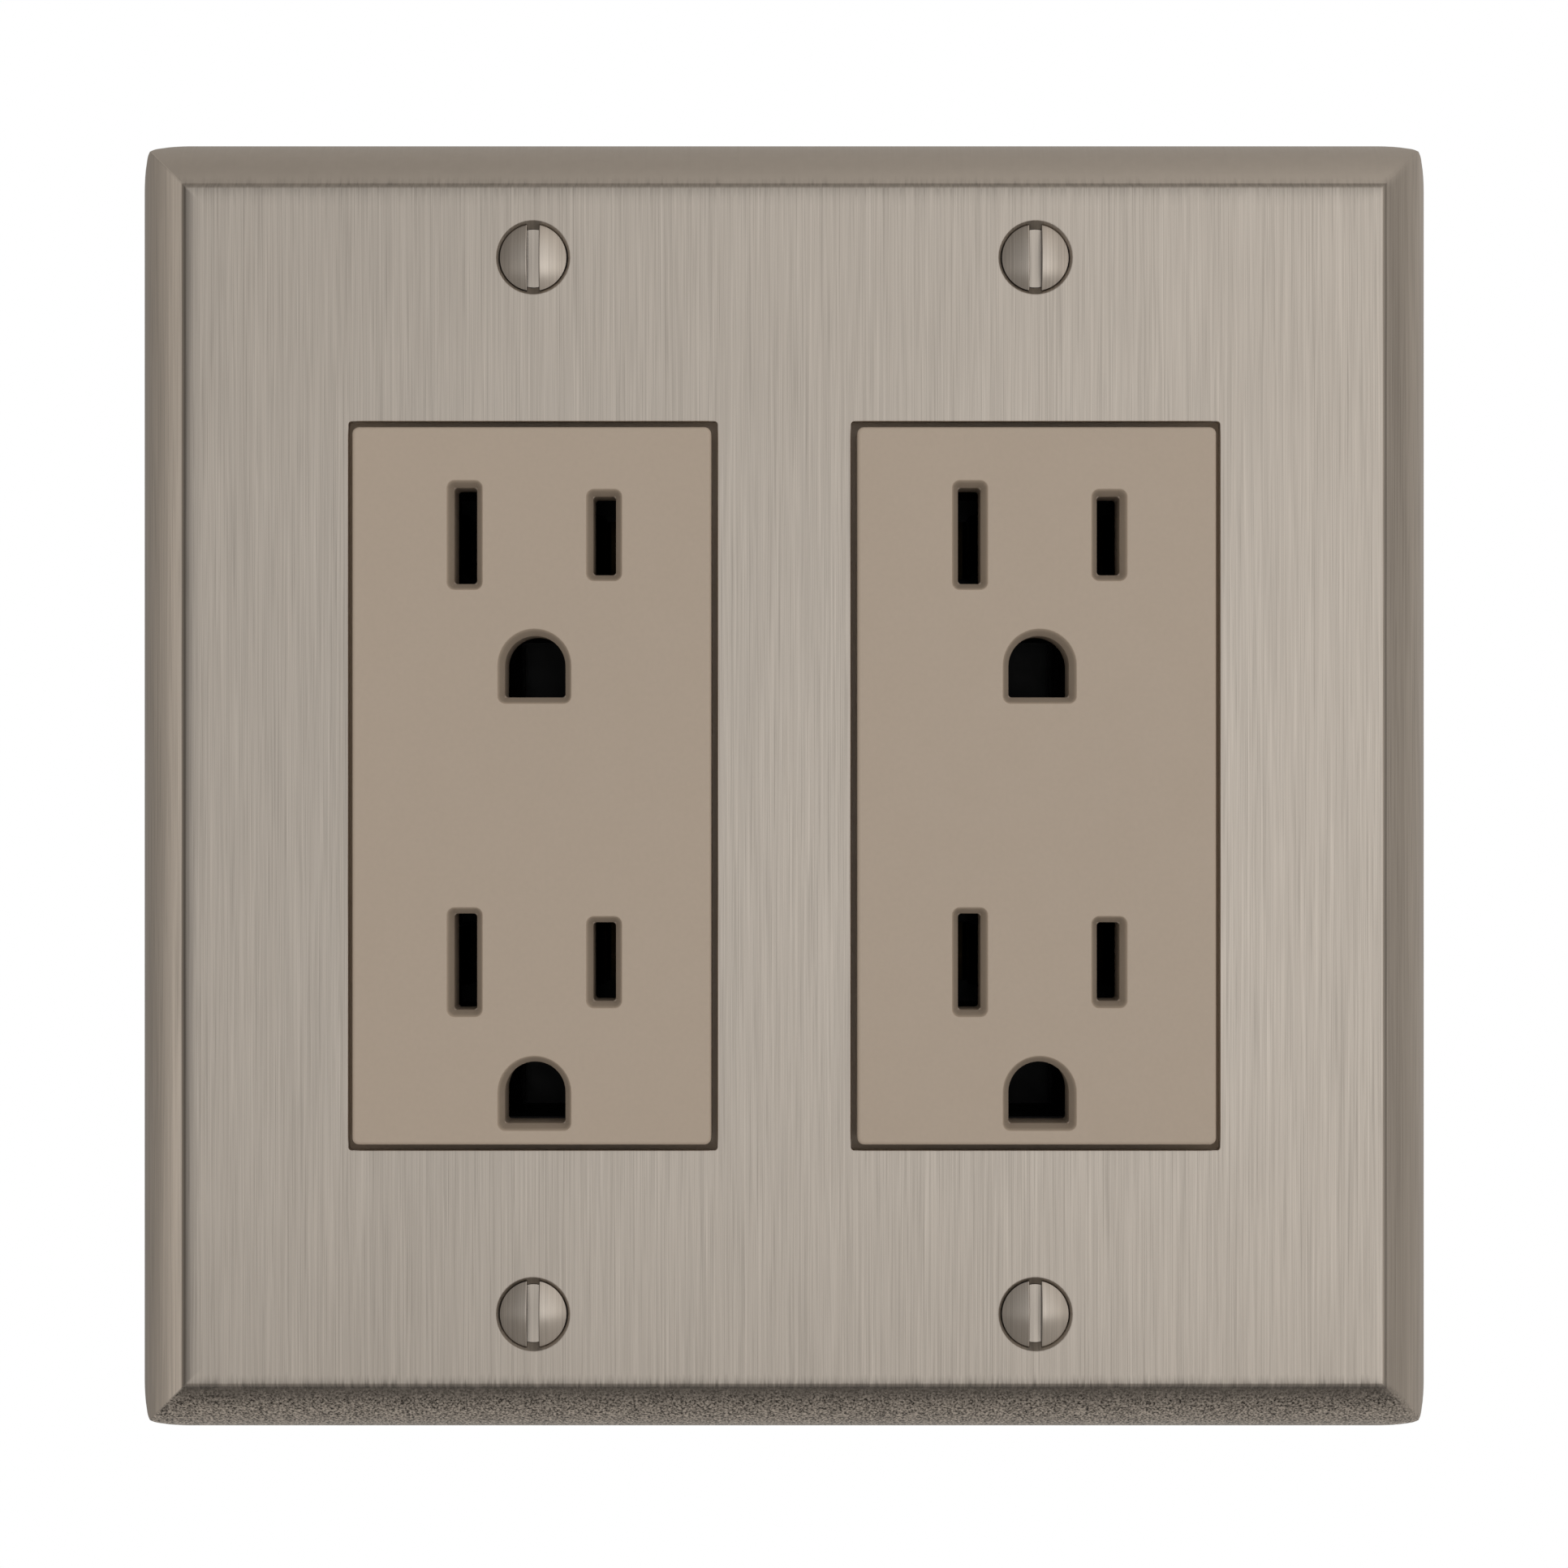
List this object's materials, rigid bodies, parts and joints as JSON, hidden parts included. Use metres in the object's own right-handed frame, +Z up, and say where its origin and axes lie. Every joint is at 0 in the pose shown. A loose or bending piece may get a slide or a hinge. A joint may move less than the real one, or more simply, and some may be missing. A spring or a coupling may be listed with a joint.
{
  "type": "wall plate with duplex receptacles",
  "caption": "Square brushed metal wall plate with a bevelled rim, slotted oval head screws and tall windows filled by taupe decorator-style grounded duplex receptacles.",
  "frame": {"origin": "on the wall surface, in the middle of the four screws that go into the wall box", "axes": "+X to the right of a person who faces the plate, +Y into the wall, +Z up; the fronts face -Y"},
  "size_m": [0.119, 0.032, 0.119],
  "materials": {
    "brushed_plate": "vertical brush lines, warm nickel",
    "brushed_screw": "vertical brush lines, warm nickel",
    "taupe_plastic": "satin",
    "body_plastic": "moulded, fine grain",
    "zinc_steel": "zinc plated",
    "zinc_screw_steel": "zinc plated",
    "clamp_steel": "zinc plated",
    "rivet_steel": "tumbled",
    "contact_brass": "rolled sheet",
    "terminal_brass": "turned",
    "terminal_nickel": "nickel plated",
    "terminal_green": "green dye over plating",
    "fibre": "pressed fibre"
  },
  "bodies": {
    "mounted_receptacles": {"left_receptacle_face": "taupe_plastic", "left_back_body": "body_plastic", "left_mounting_strap": "zinc_steel", "left_hot_contacts": "contact_brass", "left_neutral_contacts": "contact_brass", "left_ground_contacts": "contact_brass", "left_ground_rivets": "rivet_steel", "left_joining_screws": "zinc_screw_steel", "left_screw_retainers": "fibre", "right_receptacle_face": "taupe_plastic", "right_back_body": "body_plastic", "right_mounting_strap": "zinc_steel", "right_hot_contacts": "contact_brass", "right_neutral_contacts": "contact_brass", "right_ground_contacts": "contact_brass", "right_ground_rivets": "rivet_steel", "right_joining_screws": "zinc_screw_steel", "right_screw_retainers": "fibre"},
    "wall_plate": {"wall_plate": "brushed_plate"},
    "left_plate_screw_upper": {"left_plate_screw_upper": "brushed_screw"},
    "left_plate_screw_lower": {"left_plate_screw_lower": "brushed_screw"},
    "right_plate_screw_upper": {"right_plate_screw_upper": "brushed_screw"},
    "right_plate_screw_lower": {"right_plate_screw_lower": "brushed_screw"},
    "left_box_screw_upper": {"left_box_screw_upper": "zinc_screw_steel"},
    "left_box_screw_lower": {"left_box_screw_lower": "zinc_screw_steel"},
    "right_box_screw_upper": {"right_box_screw_upper": "zinc_screw_steel"},
    "right_box_screw_lower": {"right_box_screw_lower": "zinc_screw_steel"},
    "left_hot_upper_wire_clamp": {"left_hot_upper_wire_clamp": "clamp_steel"},
    "left_hot_upper_terminal_screw": {"left_hot_upper_terminal_screw": "terminal_brass"},
    "left_hot_lower_wire_clamp": {"left_hot_lower_wire_clamp": "clamp_steel"},
    "left_hot_lower_terminal_screw": {"left_hot_lower_terminal_screw": "terminal_brass"},
    "left_neutral_upper_wire_clamp": {"left_neutral_upper_wire_clamp": "clamp_steel"},
    "left_neutral_upper_terminal_screw": {"left_neutral_upper_terminal_screw": "terminal_nickel"},
    "left_neutral_lower_wire_clamp": {"left_neutral_lower_wire_clamp": "clamp_steel"},
    "left_neutral_lower_terminal_screw": {"left_neutral_lower_terminal_screw": "terminal_nickel"},
    "left_ground_wire_clamp": {"left_ground_wire_clamp": "clamp_steel"},
    "left_ground_terminal_screw": {"left_ground_terminal_screw": "terminal_green"},
    "right_hot_upper_wire_clamp": {"right_hot_upper_wire_clamp": "clamp_steel"},
    "right_hot_upper_terminal_screw": {"right_hot_upper_terminal_screw": "terminal_brass"},
    "right_hot_lower_wire_clamp": {"right_hot_lower_wire_clamp": "clamp_steel"},
    "right_hot_lower_terminal_screw": {"right_hot_lower_terminal_screw": "terminal_brass"},
    "right_neutral_upper_wire_clamp": {"right_neutral_upper_wire_clamp": "clamp_steel"},
    "right_neutral_upper_terminal_screw": {"right_neutral_upper_terminal_screw": "terminal_nickel"},
    "right_neutral_lower_wire_clamp": {"right_neutral_lower_wire_clamp": "clamp_steel"},
    "right_neutral_lower_terminal_screw": {"right_neutral_lower_terminal_screw": "terminal_nickel"},
    "right_ground_wire_clamp": {"right_ground_wire_clamp": "clamp_steel"},
    "right_ground_terminal_screw": {"right_ground_terminal_screw": "terminal_green"}
  },
  "joints": [
    {"name": "wall_plate_lift", "type": "slide", "parent": "mounted_receptacles", "child": "wall_plate", "axis": [0, -1, 0], "range_m": [0, 0.00746]},
    {"name": "left_plate_screw_upper_turn", "type": "hinge", "parent": "wall_plate", "child": "left_plate_screw_upper", "pos_m": [-0.02302, -0.0056, 0.04842], "axis": [0, -1, 0], "range_deg": [0, 3384]},
    {"name": "left_plate_screw_lower_turn", "type": "hinge", "parent": "wall_plate", "child": "left_plate_screw_lower", "pos_m": [-0.02302, -0.0056, -0.04842], "axis": [0, -1, 0], "range_deg": [0, 3384]},
    {"name": "right_plate_screw_upper_turn", "type": "hinge", "parent": "wall_plate", "child": "right_plate_screw_upper", "pos_m": [0.02302, -0.0056, 0.04842], "axis": [0, -1, 0], "range_deg": [0, 3384]},
    {"name": "right_plate_screw_lower_turn", "type": "hinge", "parent": "wall_plate", "child": "right_plate_screw_lower", "pos_m": [0.02302, -0.0056, -0.04842], "axis": [0, -1, 0], "range_deg": [0, 3384]},
    {"name": "left_box_screw_upper_turn", "type": "hinge", "parent": "mounted_receptacles", "child": "left_box_screw_upper", "pos_m": [-0.02302, -0.0012, 0.04167], "axis": [0, -1, 0], "range_deg": [0, 720]},
    {"name": "left_box_screw_lower_turn", "type": "hinge", "parent": "mounted_receptacles", "child": "left_box_screw_lower", "pos_m": [-0.02302, -0.0012, -0.04167], "axis": [0, -1, 0], "range_deg": [0, 720]},
    {"name": "right_box_screw_upper_turn", "type": "hinge", "parent": "mounted_receptacles", "child": "right_box_screw_upper", "pos_m": [0.02302, -0.0012, 0.04167], "axis": [0, -1, 0], "range_deg": [0, 720]},
    {"name": "right_box_screw_lower_turn", "type": "hinge", "parent": "mounted_receptacles", "child": "right_box_screw_lower", "pos_m": [0.02302, -0.0012, -0.04167], "axis": [0, -1, 0], "range_deg": [0, 720]},
    {"name": "left_hot_upper_clamp_opening", "type": "slide", "parent": "mounted_receptacles", "child": "left_hot_upper_wire_clamp", "axis": [1, 0, 0], "range_m": [0, 0.00238]},
    {"name": "left_hot_upper_screw_turn", "type": "hinge", "parent": "left_hot_upper_wire_clamp", "child": "left_hot_upper_terminal_screw", "pos_m": [-0.01077, 0.0094, 0.01199], "axis": [1, 0, 0], "range_deg": [0, 1080]},
    {"name": "left_hot_lower_clamp_opening", "type": "slide", "parent": "mounted_receptacles", "child": "left_hot_lower_wire_clamp", "axis": [1, 0, 0], "range_m": [0, 0.00238]},
    {"name": "left_hot_lower_screw_turn", "type": "hinge", "parent": "left_hot_lower_wire_clamp", "child": "left_hot_lower_terminal_screw", "pos_m": [-0.01077, 0.0094, -0.00521], "axis": [1, 0, 0], "range_deg": [0, 1080]},
    {"name": "left_neutral_upper_clamp_opening", "type": "slide", "parent": "mounted_receptacles", "child": "left_neutral_upper_wire_clamp", "axis": [-1, 0, 0], "range_m": [0, 0.00238]},
    {"name": "left_neutral_upper_screw_turn", "type": "hinge", "parent": "left_neutral_upper_wire_clamp", "child": "left_neutral_upper_terminal_screw", "pos_m": [-0.03477, 0.0094, 0.01199], "axis": [-1, 0, 0], "range_deg": [0, 1080]},
    {"name": "left_neutral_lower_clamp_opening", "type": "slide", "parent": "mounted_receptacles", "child": "left_neutral_lower_wire_clamp", "axis": [-1, 0, 0], "range_m": [0, 0.00238]},
    {"name": "left_neutral_lower_screw_turn", "type": "hinge", "parent": "left_neutral_lower_wire_clamp", "child": "left_neutral_lower_terminal_screw", "pos_m": [-0.03477, 0.0094, -0.00521], "axis": [-1, 0, 0], "range_deg": [0, 1080]},
    {"name": "left_ground_clamp_opening", "type": "slide", "parent": "mounted_receptacles", "child": "left_ground_wire_clamp", "axis": [-1, 0, 0], "range_m": [0, 0.00238]},
    {"name": "left_ground_screw_turn", "type": "hinge", "parent": "left_ground_wire_clamp", "child": "left_ground_terminal_screw", "pos_m": [-0.03942, 0.0059, -0.041], "axis": [-1, 0, 0], "range_deg": [0, 1080]},
    {"name": "right_hot_upper_clamp_opening", "type": "slide", "parent": "mounted_receptacles", "child": "right_hot_upper_wire_clamp", "axis": [1, 0, 0], "range_m": [0, 0.00238]},
    {"name": "right_hot_upper_screw_turn", "type": "hinge", "parent": "right_hot_upper_wire_clamp", "child": "right_hot_upper_terminal_screw", "pos_m": [0.03527, 0.0094, 0.01199], "axis": [1, 0, 0], "range_deg": [0, 1080]},
    {"name": "right_hot_lower_clamp_opening", "type": "slide", "parent": "mounted_receptacles", "child": "right_hot_lower_wire_clamp", "axis": [1, 0, 0], "range_m": [0, 0.00238]},
    {"name": "right_hot_lower_screw_turn", "type": "hinge", "parent": "right_hot_lower_wire_clamp", "child": "right_hot_lower_terminal_screw", "pos_m": [0.03527, 0.0094, -0.00521], "axis": [1, 0, 0], "range_deg": [0, 1080]},
    {"name": "right_neutral_upper_clamp_opening", "type": "slide", "parent": "mounted_receptacles", "child": "right_neutral_upper_wire_clamp", "axis": [-1, 0, 0], "range_m": [0, 0.00238]},
    {"name": "right_neutral_upper_screw_turn", "type": "hinge", "parent": "right_neutral_upper_wire_clamp", "child": "right_neutral_upper_terminal_screw", "pos_m": [0.01127, 0.0094, 0.01199], "axis": [-1, 0, 0], "range_deg": [0, 1080]},
    {"name": "right_neutral_lower_clamp_opening", "type": "slide", "parent": "mounted_receptacles", "child": "right_neutral_lower_wire_clamp", "axis": [-1, 0, 0], "range_m": [0, 0.00238]},
    {"name": "right_neutral_lower_screw_turn", "type": "hinge", "parent": "right_neutral_lower_wire_clamp", "child": "right_neutral_lower_terminal_screw", "pos_m": [0.01127, 0.0094, -0.00521], "axis": [-1, 0, 0], "range_deg": [0, 1080]},
    {"name": "right_ground_clamp_opening", "type": "slide", "parent": "mounted_receptacles", "child": "right_ground_wire_clamp", "axis": [-1, 0, 0], "range_m": [0, 0.00238]},
    {"name": "right_ground_screw_turn", "type": "hinge", "parent": "right_ground_wire_clamp", "child": "right_ground_terminal_screw", "pos_m": [0.00662, 0.0059, -0.041], "axis": [-1, 0, 0], "range_deg": [0, 1080]}
  ],
  "couplings": [
    {"joint": "left_plate_screw_upper_turn", "follows": "wall_plate_lift", "rad_per_m": 7913.3},
    {"joint": "left_plate_screw_lower_turn", "follows": "wall_plate_lift", "rad_per_m": 7913.3},
    {"joint": "right_plate_screw_upper_turn", "follows": "wall_plate_lift", "rad_per_m": 7913.3},
    {"joint": "right_plate_screw_lower_turn", "follows": "wall_plate_lift", "rad_per_m": 7913.3},
    {"joint": "left_hot_upper_screw_turn", "follows": "left_hot_upper_clamp_opening", "rad_per_m": 7913.3},
    {"joint": "left_hot_lower_screw_turn", "follows": "left_hot_lower_clamp_opening", "rad_per_m": 7913.3},
    {"joint": "left_neutral_upper_screw_turn", "follows": "left_neutral_upper_clamp_opening", "rad_per_m": 7913.3},
    {"joint": "left_neutral_lower_screw_turn", "follows": "left_neutral_lower_clamp_opening", "rad_per_m": 7913.3},
    {"joint": "left_ground_screw_turn", "follows": "left_ground_clamp_opening", "rad_per_m": 7913.3},
    {"joint": "right_hot_upper_screw_turn", "follows": "right_hot_upper_clamp_opening", "rad_per_m": 7913.3},
    {"joint": "right_hot_lower_screw_turn", "follows": "right_hot_lower_clamp_opening", "rad_per_m": 7913.3},
    {"joint": "right_neutral_upper_screw_turn", "follows": "right_neutral_upper_clamp_opening", "rad_per_m": 7913.3},
    {"joint": "right_neutral_lower_screw_turn", "follows": "right_neutral_lower_clamp_opening", "rad_per_m": 7913.3},
    {"joint": "right_ground_screw_turn", "follows": "right_ground_clamp_opening", "rad_per_m": 7913.3}
  ]
}
